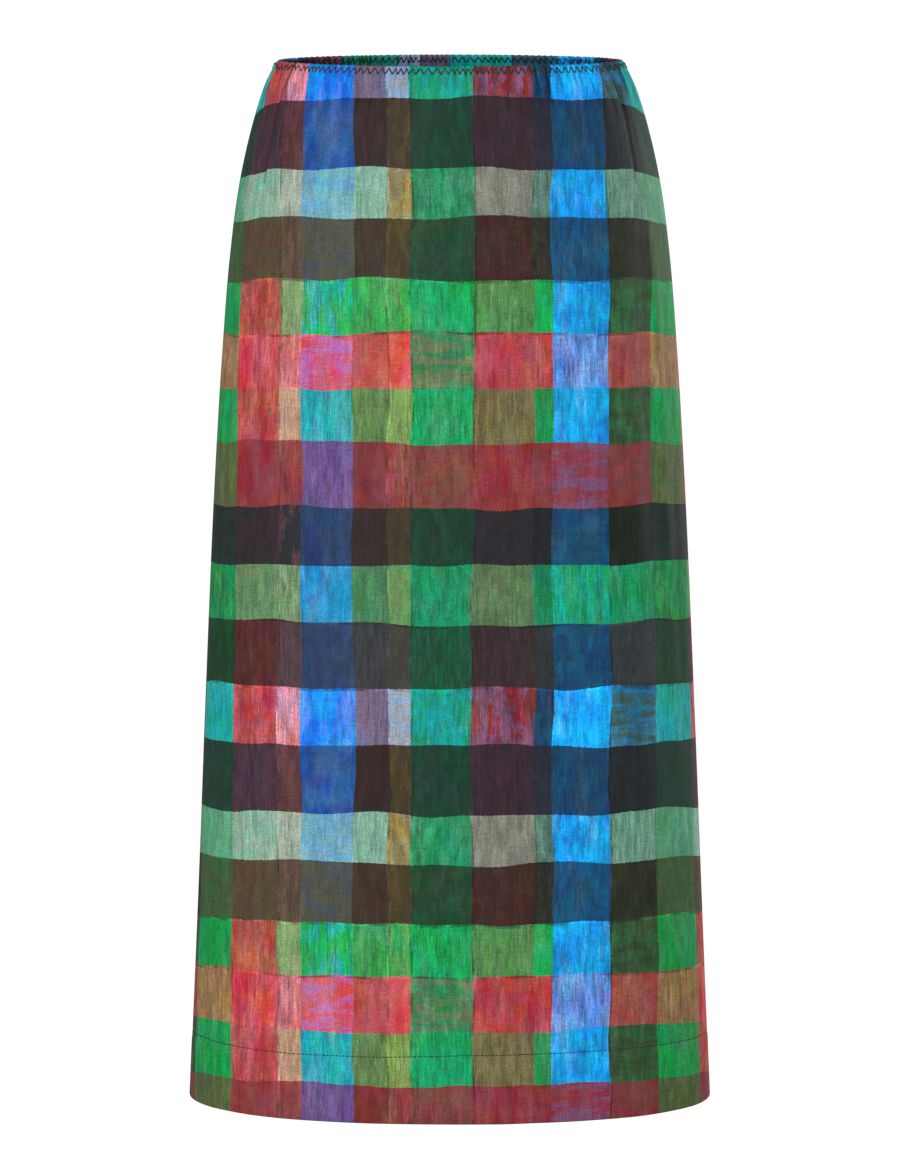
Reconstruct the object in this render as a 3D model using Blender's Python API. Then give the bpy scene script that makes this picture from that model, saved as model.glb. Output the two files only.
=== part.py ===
"""Midi skirt in its worn form: a front, two backs, a turned elastic waist and a turned-up hem.

Metres, +Z up, the front faces -Y. The origin is the middle of the waist opening, level with its edge.
Drops are measured down from the waist edge, and every size below is in millimetres.
"""
import math
from collections import namedtuple

import bmesh
import bpy
import numpy as np

MM = 0.001

# Driving sizes of the whole garment
SKIRT_LENGTH = 833.0
CASING_DEPTH = 12.0
HEM_DEPTH = 57.0

# Thickness of each layer, and the room left between two pieces
PANEL_CLOTH = 1.5
CASING_CLOTH = 2.2
TURNUP_CLOTH = 1.2
SEAM_GAP = 0.3

# The worn outline: half width seen from the front, depth to the front and to the back, squareness of the ring
Section = namedtuple("Section", "drop half_width front back squareness")
SECTIONS = (
    Section(0.0, 136.5, 94.0, 92.0, 2.00),
    Section(16.0, 145.1, 98.0, 98.0, 2.02),
    Section(36.0, 152.4, 101.5, 104.0, 2.05),
    Section(60.0, 159.1, 104.5, 110.0, 2.08),
    Section(100.0, 167.6, 108.0, 118.0, 2.10),
    Section(155.0, 174.8, 111.0, 124.0, 2.12),
    Section(230.0, 181.0, 113.5, 127.0, 2.13),
    Section(335.0, 187.6, 116.5, 128.0, 2.14),
    Section(496.0, 195.3, 120.0, 129.0, 2.15),
    Section(679.0, 202.9, 123.5, 131.0, 2.15),
    Section(SKIRT_LENGTH, 209.7, 127.0, 134.0, 2.15),
)

# The elastic's gathers, counted all round: the height of a ridge over the smooth ring, and how far it reaches
# down. At the waist edge the casing holds the ridges to a share of their height.
GATHERS = 64
GATHER_HEIGHT = 0.9
GATHER_REACH = 46.0
SHARE_AT_EDGE = 0.6
COLUMNS_A_GATHER = 4

# How the gathers differ from place to place: slow waves of height and of reach, as shares of the mean
Variety = namedtuple("Variety", "waves height reach phase")
VARIETIES = (
    Variety(5, 0.30, 0.0, 1.0),
    Variety(7, 0.0, 0.24, 0.5),
    Variety(11, 0.22, 0.0, 2.1),
)

# How the gathers bunch up and spread: waves of shift round the skirt, as shares of a full turn.
# A cosine counts from its crest and its waves are fours, so that every seam stays in its place.
Bunching = namedtuple("Bunching", "waves sine cosine")
BUNCHING = (
    Bunching(4, 0.0, 0.0045),
    Bunching(12, 0.0012, 0.0015),
    Bunching(20, -0.0008, 0.0010),
)

# Places round the skirt are shares of a full turn, from the wearer's right side seam over the front
RIGHT_SIDE, LEFT_SIDE, CENTRE_BACK, FULL_TURN = 0.0, 0.5, 0.75, 1.0

# Darts: where the seam starts and ends round the skirt, how far it drops, how deep it draws the cloth in
Dart = namedtuple("Dart", "top tip length depth half_width")
DARTS = (
    Dart(0.0590, 0.0675, 105.0, 1.1, 7.0),
    Dart(0.4410, 0.4325, 105.0, 1.1, 7.0),
    Dart(0.6250, 0.6250, 120.0, 1.1, 7.0),
    Dart(0.8750, 0.8750, 120.0, 1.1, 7.0),
)

# Long soft folds: place round the skirt, first and last drop, height (minus draws in), half width.
# A fold rises and dies over a share of its length, and one that ends at the hem keeps its height there.
FOLD_TAPER = 1 / 3
Fold = namedtuple("Fold", "place first last height half_width")
FOLDS = (
    Fold(0.066, 90.0, 540.0, -1.8, 20.0),
    Fold(0.436, 70.0, 800.0, -2.2, 20.0),
    Fold(0.392, 330.0, SKIRT_LENGTH, 1.3, 24.0),
    Fold(0.118, 420.0, SKIRT_LENGTH, 1.2, 26.0),
    Fold(0.560, 150.0, SKIRT_LENGTH, -2.0, 24.0),
    Fold(0.668, 240.0, SKIRT_LENGTH, -1.6, 26.0),
    Fold(0.705, 190.0, 760.0, 1.5, 24.0),
    Fold(0.815, 260.0, SKIRT_LENGTH, -1.9, 25.0),
    Fold(0.930, 160.0, 700.0, -2.1, 22.0),
)

# Rows of each wall, as drops. The fine rows carry the gathers and the coarse rows the smooth skirt.
CASING_ROWS = (0.0, 6.0, CASING_DEPTH)
FINE_ROWS = CASING_ROWS + (24.0, 42.0)
HEM_ROWS = (SKIRT_LENGTH - HEM_DEPTH, SKIRT_LENGTH)
COARSE_ROWS = (65.0, 95.0, 130.0, 175.0, 235.0, 310.0, 400.0, 490.0, 590.0, 690.0) + HEM_ROWS

# Layers of the wall, as depths inward from the outer face
PANEL_LAYER = (0.0, PANEL_CLOTH)
CASING_LAYER = (PANEL_CLOTH + SEAM_GAP, PANEL_CLOTH + SEAM_GAP + CASING_CLOTH)
TURNUP_LAYER = (PANEL_CLOTH + SEAM_GAP, PANEL_CLOTH + SEAM_GAP + TURNUP_CLOTH)

# Each panel runs between two seams, and all three panels meet at the seams
Panel = namedtuple("Panel", "name first last colour")
PANELS = (
    Panel("front", RIGHT_SIDE, LEFT_SIDE, (0.10, 0.30, 0.20)),
    Panel("back_left", LEFT_SIDE, CENTRE_BACK, (0.08, 0.22, 0.17)),
    Panel("back_right", CENTRE_BACK, FULL_TURN, (0.12, 0.20, 0.15)),
)
CLOTH_ROUGHNESS = 0.62
RING_SAMPLES = 1201
SMOOTH_BELOW_DEG = 50.0


def clear_scene():
    """Remove whatever the open file holds."""
    for thing in list(bpy.data.objects):
        bpy.data.objects.remove(thing)


def smooth_column(name, drop):
    """One column of the section table at a drop, through a cubic with the table's own slopes."""
    drops = np.array([row.drop for row in SECTIONS])
    values = np.array([getattr(row, name) for row in SECTIONS])
    slopes = np.gradient(values, drops)
    low = int(np.clip(np.searchsorted(drops, drop) - 1, 0, len(drops) - 2))
    span = drops[low + 1] - drops[low]
    t = (drop - drops[low]) / span
    return (
        (2 * t**3 - 3 * t**2 + 1) * values[low]
        + (t**3 - 2 * t**2 + t) * span * slopes[low]
        + (3 * t**2 - 2 * t**3) * values[low + 1]
        + (t**3 - t**2) * span * slopes[low + 1]
    )


class Ring:
    """The skirt's level outline at one drop, measured along its edge from the right side seam."""

    def __init__(self, drop):
        self.drop = drop
        width = smooth_column("half_width", drop)
        square = smooth_column("squareness", drop)
        angle = np.linspace(0.0, 2.0 * math.pi, RING_SAMPLES)
        along, across = -np.cos(angle), -np.sin(angle)
        depth = np.where(
            across > 0, smooth_column("back", drop), smooth_column("front", drop)
        )
        self.x = width * np.sign(along) * np.abs(along) ** (2.0 / square)
        self.y = depth * np.sign(across) * np.abs(across) ** (2.0 / square)
        out_x = np.sign(along) * np.abs(self.x) ** (square - 1) / width**square
        out_y = np.sign(across) * np.abs(self.y) ** (square - 1) / depth**square
        size = np.hypot(out_x, out_y)
        self.out_x, self.out_y = out_x / size, out_y / size
        steps = np.hypot(np.diff(self.x), np.diff(self.y))
        self.edge = np.concatenate([[0.0], np.cumsum(steps)])
        self.round = self.edge[-1]
        self.side = self.edge[RING_SAMPLES // 2]

    def edge_at(self, place):
        """Distance along the edge of a place round the skirt: each half of the turn has its own length."""
        if place <= LEFT_SIDE:
            return self.side * place / LEFT_SIDE
        return self.side + (self.round - self.side) * (place - LEFT_SIDE) / (FULL_TURN - LEFT_SIDE)

    def point(self, edge, outward):
        """The point at a distance along the edge, moved outward along the level normal."""
        x, y, out_x, out_y = (
            np.interp(edge, self.edge, values)
            for values in (self.x, self.y, self.out_x, self.out_y)
        )
        return (
            (x + out_x * outward) * MM,
            (y + out_y * outward) * MM,
            -self.drop * MM,
        )


def ease(t):
    """A smooth step from 0 to 1."""
    t = min(max(t, 0.0), 1.0)
    return t * t * (3 - 2 * t)


def bunched(place):
    """Where a column of the gathers lies, as the elastic bunches them up and spreads them."""
    shift = 0.0
    for row in BUNCHING:
        turn = 2 * math.pi * row.waves * place
        shift += row.sine * math.sin(turn) + row.cosine * (math.cos(turn) - 1)
    return place + shift


def gather_height(place, drop):
    """Height of the elastic's gathers: a cosine a gather, uneven in height, dying out at uneven drops."""
    height, reach = GATHER_HEIGHT, GATHER_REACH
    for row in VARIETIES:
        wave = math.sin(2 * math.pi * row.waves * place + row.phase)
        height += GATHER_HEIGHT * row.height * wave
        reach += GATHER_REACH * row.reach * wave
    height *= SHARE_AT_EDGE + (1 - SHARE_AT_EDGE) * ease(drop / CASING_DEPTH)
    return height * ease(1 - drop / reach) * math.cos(2 * math.pi * GATHERS * place)


def dart_height(ring, edge):
    """How far the darts draw the cloth in: deepest at the waist, nothing at the tip."""
    height = 0.0
    for dart in DARTS:
        down = ring.drop / dart.length
        if down < 1:
            seam = ring.edge_at(dart.top + (dart.tip - dart.top) * down)
            height -= dart.depth * (1 - down) * math.exp(-(((edge - seam) / dart.half_width) ** 2))
    return height


def fold_height(ring, edge):
    """Height of the long soft folds: round in section, rising and dying gently along their length."""
    height = 0.0
    for fold in FOLDS:
        inside = (ring.drop - fold.first) / (fold.last - fold.first)
        if 0 < inside <= 1:
            dying = 1.0 if fold.last == SKIRT_LENGTH else ease((1 - inside) / FOLD_TAPER)
            across = (edge - ring.edge_at(fold.place)) / fold.half_width
            height += fold.height * ease(inside / FOLD_TAPER) * dying * math.exp(-across * across)
    return height


def wall_row(panel, drop, cells, layer):
    """One row of a wall between two seams: its outer points and its inner points."""
    ring = Ring(drop)
    start = ring.edge_at(panel.first) + SEAM_GAP / 2
    end = ring.edge_at(panel.last) - SEAM_GAP / 2
    outer, inner = [], []
    for k in range(cells + 1):
        place = panel.first + (panel.last - panel.first) * k / cells
        edge = min(max(ring.edge_at(bunched(place)), start), end)
        height = gather_height(place, drop) + dart_height(ring, edge) + fold_height(ring, edge)
        outer.append(ring.point(edge, height - layer[0]))
        inner.append(ring.point(edge, height - layer[1]))
    return outer, inner


def band_faces(upper, lower):
    """Faces between two rows of corners. A row of four times as many corners is fanned onto the other."""
    if len(upper) == len(lower):
        return [
            (upper[k], lower[k], lower[k + 1], upper[k + 1])
            for k in range(len(upper) - 1)
        ]
    faces = []
    middle = COLUMNS_A_GATHER // 2
    for k in range(len(lower) - 1):
        fine = upper[COLUMNS_A_GATHER * k : COLUMNS_A_GATHER * (k + 1) + 1]
        faces += [(fine[i], lower[k], fine[i + 1]) for i in range(middle)]
        faces.append((fine[middle], lower[k], lower[k + 1]))
        faces += [
            (fine[i], lower[k + 1], fine[i + 1])
            for i in range(middle, COLUMNS_A_GATHER)
        ]
    return faces


def add_wall(name, panel, fine_rows, coarse_rows, layer, material):
    """A closed wall: an outer and an inner sheet of rows, joined round all four edges."""
    coarse_cells = round(GATHERS * (panel.last - panel.first))
    shape = bmesh.new()
    outer, inner = [], []
    for rows, cells in (
        (fine_rows, coarse_cells * COLUMNS_A_GATHER),
        (coarse_rows, coarse_cells),
    ):
        for drop in rows:
            out_points, in_points = wall_row(panel, drop, cells, layer)
            outer.append([shape.verts.new(p) for p in out_points])
            inner.append([shape.verts.new(p) for p in in_points])
    for rows in (outer, inner):
        for upper, lower in zip(rows, rows[1:]):
            for face in band_faces(upper, lower):
                shape.faces.new(face)
    ends = [
        (outer[0], inner[0]),
        (outer[-1], inner[-1]),
        ([row[0] for row in outer], [row[0] for row in inner]),
        ([row[-1] for row in outer], [row[-1] for row in inner]),
    ]
    for edge_out, edge_in in ends:
        for face in band_faces(edge_out, edge_in):
            shape.faces.new(face)
    bmesh.ops.recalc_face_normals(shape, faces=shape.faces)
    mesh = bpy.data.meshes.new(name)
    shape.to_mesh(mesh)
    shape.free()
    mesh.shade_smooth()
    mesh.set_sharp_from_angle(angle=math.radians(SMOOTH_BELOW_DEG))
    mesh.materials.append(material)
    thing = bpy.data.objects.new(name, mesh)
    bpy.context.scene.collection.objects.link(thing)
    return thing


def cloth_material(name, colour):
    """Plain matt cloth of one colour."""
    material = bpy.data.materials.new(name)
    material.use_nodes = True
    shader = material.node_tree.nodes["Principled BSDF"]
    shader.inputs["Base Color"].default_value = (*colour, 1.0)
    shader.inputs["Roughness"].default_value = CLOTH_ROUGHNESS
    shader.inputs["Metallic"].default_value = 0.0
    return material


def main():
    """Cut and hang each piece: three panels, and on each its waist casing and its hem turn-up."""
    clear_scene()
    for panel in PANELS:
        material = cloth_material(f"{panel.name}_cloth", panel.colour)
        add_wall(f"{panel.name}_panel", panel, FINE_ROWS, COARSE_ROWS, PANEL_LAYER, material)
        add_wall(f"{panel.name}_waist_casing", panel, CASING_ROWS, (), CASING_LAYER, material)
        add_wall(f"{panel.name}_hem_turnup", panel, (), HEM_ROWS, TURNUP_LAYER, material)


main()
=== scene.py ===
"""Looks of the midi skirt: printed cloth shells over its solids, zigzag waist stitching and a stitched hem.

The frame is in metres with +Z up, the front faces -Y and the origin is the middle of the waist opening.
Drops are measured down from the waist edge. Sizes are in millimetres unless a name says otherwise.
"""

import math
from collections import namedtuple

import bpy
import numpy as np
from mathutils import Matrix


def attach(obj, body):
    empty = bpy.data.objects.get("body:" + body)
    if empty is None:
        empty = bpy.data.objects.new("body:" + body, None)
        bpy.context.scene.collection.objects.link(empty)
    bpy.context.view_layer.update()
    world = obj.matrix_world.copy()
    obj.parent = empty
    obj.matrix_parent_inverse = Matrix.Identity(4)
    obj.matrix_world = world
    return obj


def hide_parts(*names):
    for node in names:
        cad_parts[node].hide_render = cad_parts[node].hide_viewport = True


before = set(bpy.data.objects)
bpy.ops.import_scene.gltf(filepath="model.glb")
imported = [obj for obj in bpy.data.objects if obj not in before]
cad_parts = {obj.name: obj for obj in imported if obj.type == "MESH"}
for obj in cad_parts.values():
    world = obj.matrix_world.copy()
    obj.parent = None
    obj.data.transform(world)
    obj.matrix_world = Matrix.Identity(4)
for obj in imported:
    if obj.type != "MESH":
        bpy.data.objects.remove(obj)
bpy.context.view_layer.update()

MM = 0.001
TURN = 2 * math.pi

# Driving sizes of the skirt, the same as the solids'
SKIRT_LENGTH = 833.0
CASING_DEPTH = 12.0
HEM_DEPTH = 57.0

# The cloth itself, and the two folds it is turned over: the waist fold holds the elastic
CLOTH_THICKNESS = 0.4
WAIST_FOLD_RADIUS = 1.7
HEM_FOLD_RADIUS = 0.8

# The worn outline: half width seen from the front, depth to the front and to the back, squareness of the ring
Section = namedtuple("Section", "drop half_width front back squareness")
SECTIONS = (
    Section(0.0, 136.5, 94.0, 92.0, 2.00),
    Section(16.0, 145.1, 98.0, 98.0, 2.02),
    Section(36.0, 152.4, 101.5, 104.0, 2.05),
    Section(60.0, 159.1, 104.5, 110.0, 2.08),
    Section(100.0, 167.6, 108.0, 118.0, 2.10),
    Section(155.0, 174.8, 111.0, 124.0, 2.12),
    Section(230.0, 181.0, 113.5, 127.0, 2.13),
    Section(335.0, 187.6, 116.5, 128.0, 2.14),
    Section(496.0, 195.3, 120.0, 129.0, 2.15),
    Section(679.0, 202.9, 123.5, 131.0, 2.15),
    Section(SKIRT_LENGTH, 209.7, 127.0, 134.0, 2.15),
)

# How closely the rings of the outline are worked out, and how far short of a table's end it is read
ROW_STEP = 2.0
RING_SAMPLES = 1601
SHORT_OF_END = 1.001

# Places round the skirt are shares of a full turn, from the wearer's right side seam over the front
RIGHT_SIDE, CENTRE_FRONT, LEFT_SIDE, CENTRE_BACK, FULL_TURN = 0.0, 0.25, 0.5, 0.75, 1.0

# Sines counted round the skirt
Wave = namedtuple("Wave", "count phase")

# The elastic's gathers, as in the solids, and the finer ones between them, patchy and crowded in places
GATHERS = 64
GATHER_HEIGHT = 0.9
GATHER_REACH = 46.0
SHARE_AT_EDGE = 0.6
VALLEY = 0.3
FINE_GATHERS = 150
FINE_GATHER_HEIGHT = 0.62
FINE_GATHER_REACH = 26.0
FINE_GATHER_LEAST_REACH = 6.0
FINE_GATHER_MEAN = 0.6
FINE_GATHER_CHANGE = 0.4
FINE_GATHER_PATCHES = (Wave(13, 0.7), Wave(3, 0.0))
FINE_GATHER_CROWDS = 17
FINE_GATHER_CROWDING = 0.9
Variety = namedtuple("Variety", "waves height reach phase")
VARIETIES = (
    Variety(5, 0.30, 0.0, 1.0),
    Variety(7, 0.0, 0.24, 0.5),
    Variety(11, 0.22, 0.0, 2.1),
)
Bunching = namedtuple("Bunching", "waves sine cosine")
BUNCHING = (
    Bunching(4, 0.0, 0.0045),
    Bunching(12, 0.0012, 0.0015),
    Bunching(20, -0.0008, 0.0010),
)

# Darts, as in the solids, with the cloth each one takes out at the waist edge and its seam's fine groove
DART_INTAKE = 15.0
DART_GROOVE_DEPTH = 0.9
DART_GROOVE_HALF_WIDTH = 2.2
DART_GROOVE_TAPER = 1 / 6
Dart = namedtuple("Dart", "top tip length depth half_width")
DARTS = (
    Dart(0.0590, 0.0675, 105.0, 1.1, 7.0),
    Dart(0.4410, 0.4325, 105.0, 1.1, 7.0),
    Dart(0.6250, 0.6250, 120.0, 1.1, 7.0),
    Dart(0.8750, 0.8750, 120.0, 1.1, 7.0),
)

# Long soft folds: those of the solids, then fainter creases that only the cloth has
FOLD_TAPER = 1 / 3
Fold = namedtuple("Fold", "place first last height half_width")
FOLDS = (
    Fold(0.066, 90.0, 540.0, -1.8, 20.0),
    Fold(0.436, 70.0, 800.0, -2.2, 20.0),
    Fold(0.392, 330.0, SKIRT_LENGTH, 1.3, 24.0),
    Fold(0.118, 420.0, SKIRT_LENGTH, 1.2, 26.0),
    Fold(0.560, 150.0, SKIRT_LENGTH, -2.0, 24.0),
    Fold(0.668, 240.0, SKIRT_LENGTH, -1.6, 26.0),
    Fold(0.705, 190.0, 760.0, 1.5, 24.0),
    Fold(0.815, 260.0, SKIRT_LENGTH, -1.9, 25.0),
    Fold(0.930, 160.0, 700.0, -2.1, 22.0),
)
CREASES = (
    Fold(0.446, 60.0, 460.0, 1.9, 8.0),
    Fold(0.458, 90.0, 600.0, -2.0, 8.0),
    Fold(0.425, 110.0, 520.0, -1.0, 9.0),
    Fold(0.052, 70.0, 480.0, 1.5, 9.0),
    Fold(0.038, 100.0, 560.0, -1.6, 8.0),
    Fold(0.078, 150.0, 430.0, -0.8, 10.0),
    Fold(0.176, 40.0, 240.0, -0.9, 10.0),
    Fold(0.140, 60.0, 330.0, 0.7, 12.0),
    Fold(0.322, 30.0, 210.0, -1.0, 9.0),
    Fold(0.340, 50.0, 300.0, 0.8, 10.0),
    Fold(0.372, 220.0, 640.0, 0.9, 13.0),
    Fold(0.205, 400.0, 800.0, -0.8, 14.0),
    Fold(0.286, 470.0, SKIRT_LENGTH, 0.8, 16.0),
    Fold(0.540, 110.0, 470.0, 1.5, 8.0),
    Fold(0.600, 60.0, 330.0, -1.1, 9.0),
    Fold(0.648, 90.0, 420.0, 1.0, 10.0),
    Fold(0.690, 40.0, 260.0, -1.0, 9.0),
    Fold(0.790, 60.0, 300.0, 1.0, 10.0),
    Fold(0.852, 320.0, 780.0, -0.9, 12.0),
    Fold(0.905, 80.0, 380.0, 1.1, 10.0),
    Fold(0.965, 100.0, 440.0, 1.5, 8.0),
)

# Short sharp tucks that the elastic draws into the cloth below the stitching, deepest towards the left hip
TUCK_HALF_WIDTH = 2.8
Tuck = namedtuple("Tuck", "place reach depth")
TUCKS = (
    Tuck(0.084, 46.0, 0.5),
    Tuck(0.112, 38.0, 0.58),
    Tuck(0.139, 56.0, 0.65),
    Tuck(0.171, 34.0, 0.43),
    Tuck(0.204, 42.0, 0.5),
    Tuck(0.236, 30.0, 0.36),
    Tuck(0.283, 36.0, 0.43),
    Tuck(0.318, 44.0, 0.58),
    Tuck(0.343, 52.0, 0.72),
    Tuck(0.357, 70.0, 0.86),
    Tuck(0.369, 44.0, 0.65),
    Tuck(0.381, 82.0, 0.94),
    Tuck(0.394, 50.0, 0.72),
    Tuck(0.408, 62.0, 0.72),
    Tuck(0.535, 44.0, 0.58),
    Tuck(0.574, 58.0, 0.72),
    Tuck(0.602, 38.0, 0.58),
    Tuck(0.655, 64.0, 0.79),
    Tuck(0.689, 42.0, 0.58),
    Tuck(0.732, 50.0, 0.65),
    Tuck(0.771, 60.0, 0.72),
    Tuck(0.812, 40.0, 0.58),
    Tuck(0.846, 66.0, 0.79),
    Tuck(0.898, 46.0, 0.58),
    Tuck(0.941, 54.0, 0.65),
)

# Waist stitching: zigzags counted all round, the middle of the zigzag below the edge, and its half height
ZIGZAGS = 146
ZIGZAG_DROP = 4.2
ZIGZAG_HALF_HEIGHT = 2.3
ZIGZAG_SHARPNESS = 0.96
ZIGZAG_POINTS = 14
ZIGZAG_LIFT = 0.14
THREAD_HALF_WIDTH = 0.55
THREAD_HALF_HEIGHT = 0.22
THREAD_SIDES = 6

# What the zigzag does to the cloth: a pucker and a scallop of the edge at each one
PUCKER_HEIGHT = 0.34
PUCKER_START = 1.5
PUCKER_REACH = 9.0
PUCKER_SLANT = 0.35
SCALLOP = 0.5

# Hem stitching: stitches counted all round, how far each reaches to both sides as a share of its room, its
# thread's thickness beside the waist's, and how far the line strays down from the turn-up's edge
HEM_STITCHES = 330
HEM_STITCH_SHARE = 0.44
HEM_THREAD_SHARE = 0.62
HEM_STITCH_POINTS = 6
HEM_STITCH_LIFT = 0.26
HEM_STITCH_DIP = 1.4
HEM_STITCH_INSET = 1.5
Stray = namedtuple("Stray", "place drop")
HEM_STRAYS = (
    Stray(0.00, 5.0),
    Stray(0.04, 1.5),
    Stray(0.13, 2.6),
    Stray(0.20, 2.2),
    Stray(0.27, 0.2),
    Stray(0.38, 0.0),
    Stray(0.50, 1.8),
    Stray(0.62, 0.3),
    Stray(0.75, 2.0),
    Stray(0.88, 0.4),
    Stray(1.00, 5.0),
)

# Relief at the hem's stitch line: a dimple with small uneven puckers, and the doubled hem's fullness below
HEM_DIMPLE_DEPTH = 0.30
HEM_DIMPLE_HALF_WIDTH = 2.2
HEM_PUCKERS = 61
HEM_PUCKER_CHANGE = 0.5
HEM_PUCKER_CROWDS = 9
HEM_PUCKER_CROWDING = 1.3
HEM_FULLNESS = 0.35
HEM_FULLNESS_START = -1.0
HEM_FULLNESS_WIDTH = 6.0

# The cloth's slight unevenness: low waves that lean as they run down it, strong in patches that lean too, and
# the hem's own faint waves, from a share of the length on
Swell = namedtuple("Swell", "height count slant phase patches patch_slant")
SWELLS = (
    Swell(0.22, 9, 0.35, 0.4, 2, 0.6),
    Swell(0.16, 23, -0.5, 1.9, 3, 0.9),
)
SWELL_START = 60.0
HEM_WAVE_HEIGHT = 0.5
HEM_WAVE_START = 0.7
HEM_WAVES = (Wave(6, 0.8), Wave(5, 2.2))

# Seams: the panels' edges roll in, and painted shade darkens the print within a short way of a seam, dart
# line or hem fold
SEAM_ROLL = 0.8
SEAM_ROLL_HALF_WIDTH = 1.8
SEAM_SHADE_REACH = 10.0
HEM_FOLD_SHADE_AWAY = 0.2
DART_SHADE_SHARE = 0.6
DART_SHADE_END = 0.02

# Seam allowances pressed open inside, from under the casing to under the hem turn-up
ALLOWANCE_HALF_WIDTH = 11.0
ALLOWANCE_THICKNESS = 0.24
ALLOWANCE_DEPTH = 0.95
ALLOWANCE_LIFT = 0.35
ALLOWANCE_RIPPLE = 37.0
ALLOWANCE_FIRST = 15.0
ALLOWANCE_LAST = SKIRT_LENGTH - 20.0
ALLOWANCE_COLUMNS = 13
ALLOWANCE_ROWS = 80

# Cloth panels: each one's two seams, the place its print is centred on, and where on the print it was cut
Panel = namedtuple("Panel", "name first last centre across down")
PANELS = (
    Panel("front", RIGHT_SIDE, LEFT_SIDE, CENTRE_FRONT, 31.0, 20.0),
    Panel("back_left", LEFT_SIDE, CENTRE_BACK, CENTRE_BACK, 256.0, 20.0),
    Panel("back_right", CENTRE_BACK, FULL_TURN, CENTRE_BACK, 370.0, 20.0),
)
COLUMNS_A_TURN = 800

# How the cloth's crosswise threads hang: lower towards a side seam, with a step and a slope past the dart
SIDE_DROOP = 10.0
DART_BLEND = 0.8
DART_STEP = 3.0
DART_STEP_TAPER = 1 / 3
DART_SLOPE = 0.15
DART_SLOPE_WIDTH = 55.0
DART_SLOPE_REACH = 250.0

# Rows of the cloth down the outside, finer where the gathers and the hem stitching are
Stretch = namedtuple("Stretch", "first last steps")
OUTSIDE = (
    Stretch(WAIST_FOLD_RADIUS, 12.0, 9),
    Stretch(12.0, 50.0, 11),
    Stretch(50.0, 130.0, 9),
    Stretch(130.0, 762.0, 38),
    Stretch(762.0, 790.0, 12),
    Stretch(790.0, SKIRT_LENGTH - HEM_FOLD_RADIUS, 6),
)
CASING_STEPS = 8
FOLD_STEPS = 6
TURNUP_STEPS = 8

# Colours of the print, as display values from 0 to 255
AZURE = (0, 166, 248)
VIOLET = (60, 130, 232)
EMERALD = (14, 138, 88)
GREEN = (28, 148, 78)
SAGE = (112, 160, 140)
PINK = (206, 122, 126)
CORAL = (186, 76, 78)
DARK_RED = (124, 48, 54)
RUST = (108, 62, 50)
OCHRE = (152, 126, 70)
OLIVE = (66, 66, 44)
MOSS = (56, 78, 50)
SLATE = (44, 50, 54)
NAVY = (38, 40, 56)
INK = (24, 28, 34)

# The plaid: stripes down the cloth, then washes across it that cover the stripes by a share
Stripe = namedtuple("Stripe", "width colour")
STRIPES = (
    Stripe(48.0, EMERALD),
    Stripe(48.0, DARK_RED),
    Stripe(14.0, INK),
    Stripe(50.0, AZURE),
    Stripe(44.0, MOSS),
    Stripe(54.0, GREEN),
    Stripe(46.0, CORAL),
    Stripe(20.0, PINK),
    Stripe(44.0, VIOLET),
    Stripe(28.0, RUST),
    Stripe(18.0, OCHRE),
)
Wash = namedtuple("Wash", "width colour cover")
WASHES = (
    Wash(44.0, AZURE, 0.15),
    Wash(54.0, NAVY, 0.50),
    Wash(40.0, SAGE, 0.48),
    Wash(48.0, OLIVE, 0.48),
    Wash(42.0, GREEN, 0.50),
    Wash(42.0, CORAL, 0.50),
    Wash(44.0, GREEN, 0.30),
    Wash(50.0, DARK_RED, 0.56),
    Wash(46.0, INK, 0.46),
    Wash(46.0, EMERALD, 0.58),
    Wash(52.0, SLATE, 0.50),
)
BORDER_LINE = 0.7

# The wrong side shows the same print with a share of plain pale cloth over it
PALE_CLOTH = (176, 178, 180)
WRONG_SIDE_FADE = 0.34

# A reading turns a value from low to high into one from least to most, and holds it there outside
Reading = namedtuple("Reading", "low high least most")

# How the painted edges stray, in metres: slowly across and down the cloth, and raggedly both ways
WANDER_SCALE = 13.0
WANDER_ACROSS = Reading(0.25, 0.75, -0.0020, 0.0020)
WANDER_DOWN = Reading(0.25, 0.75, -0.0026, 0.0026)
RAGGED_SCALE = 520.0
RAGGED_EDGE = Reading(0.3, 0.7, -0.0003, 0.0003)

# Each crossing of a stripe and a wash is painted in its own way, by four values from 0 to 1 drawn for it
CROSSING_KEY = (91.0, 57.0, 73.0)
Own = namedtuple("Own", "tone cover streaks patches")
OWN_TONE = Reading(0.0, 1.0, 0.82, 1.22)
OWN_COVER = Reading(0.0, 1.0, -0.34, 0.44)
OWN_BLOTCHES = Reading(0.0, 1.0, 1.3, 0.3)
OWN_STREAKS = Reading(0.0, 1.0, 0.35, 1.15)
OWN_SMEARS = Reading(0.0, 0.8, 0.30, 0.0)
OWN_DAUBS = Reading(0.2, 1.0, 0.0, 0.50)
OWN_DULLING = Reading(0.70, 0.95, 0.19, 0.60)

# A wash as dark as the first dulls the stripe under it most, and one as light as the second leaves it alone
DARK_WASH = 0.05
LIGHT_WASH = 0.12
SHARPER_COVER = Reading(0.10, 0.90, 0.0, 1.0)
# Painted shade that darkens the print along seams, dart lines and the hem fold, read from the distance to
# them in millimetres
SEAM_PAINTED_SHADE = Reading(0.1, 1.1, 0.45, 1.0)
ROUGHNESS = Reading(0.3, 0.7, 0.54, 0.67)

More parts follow.
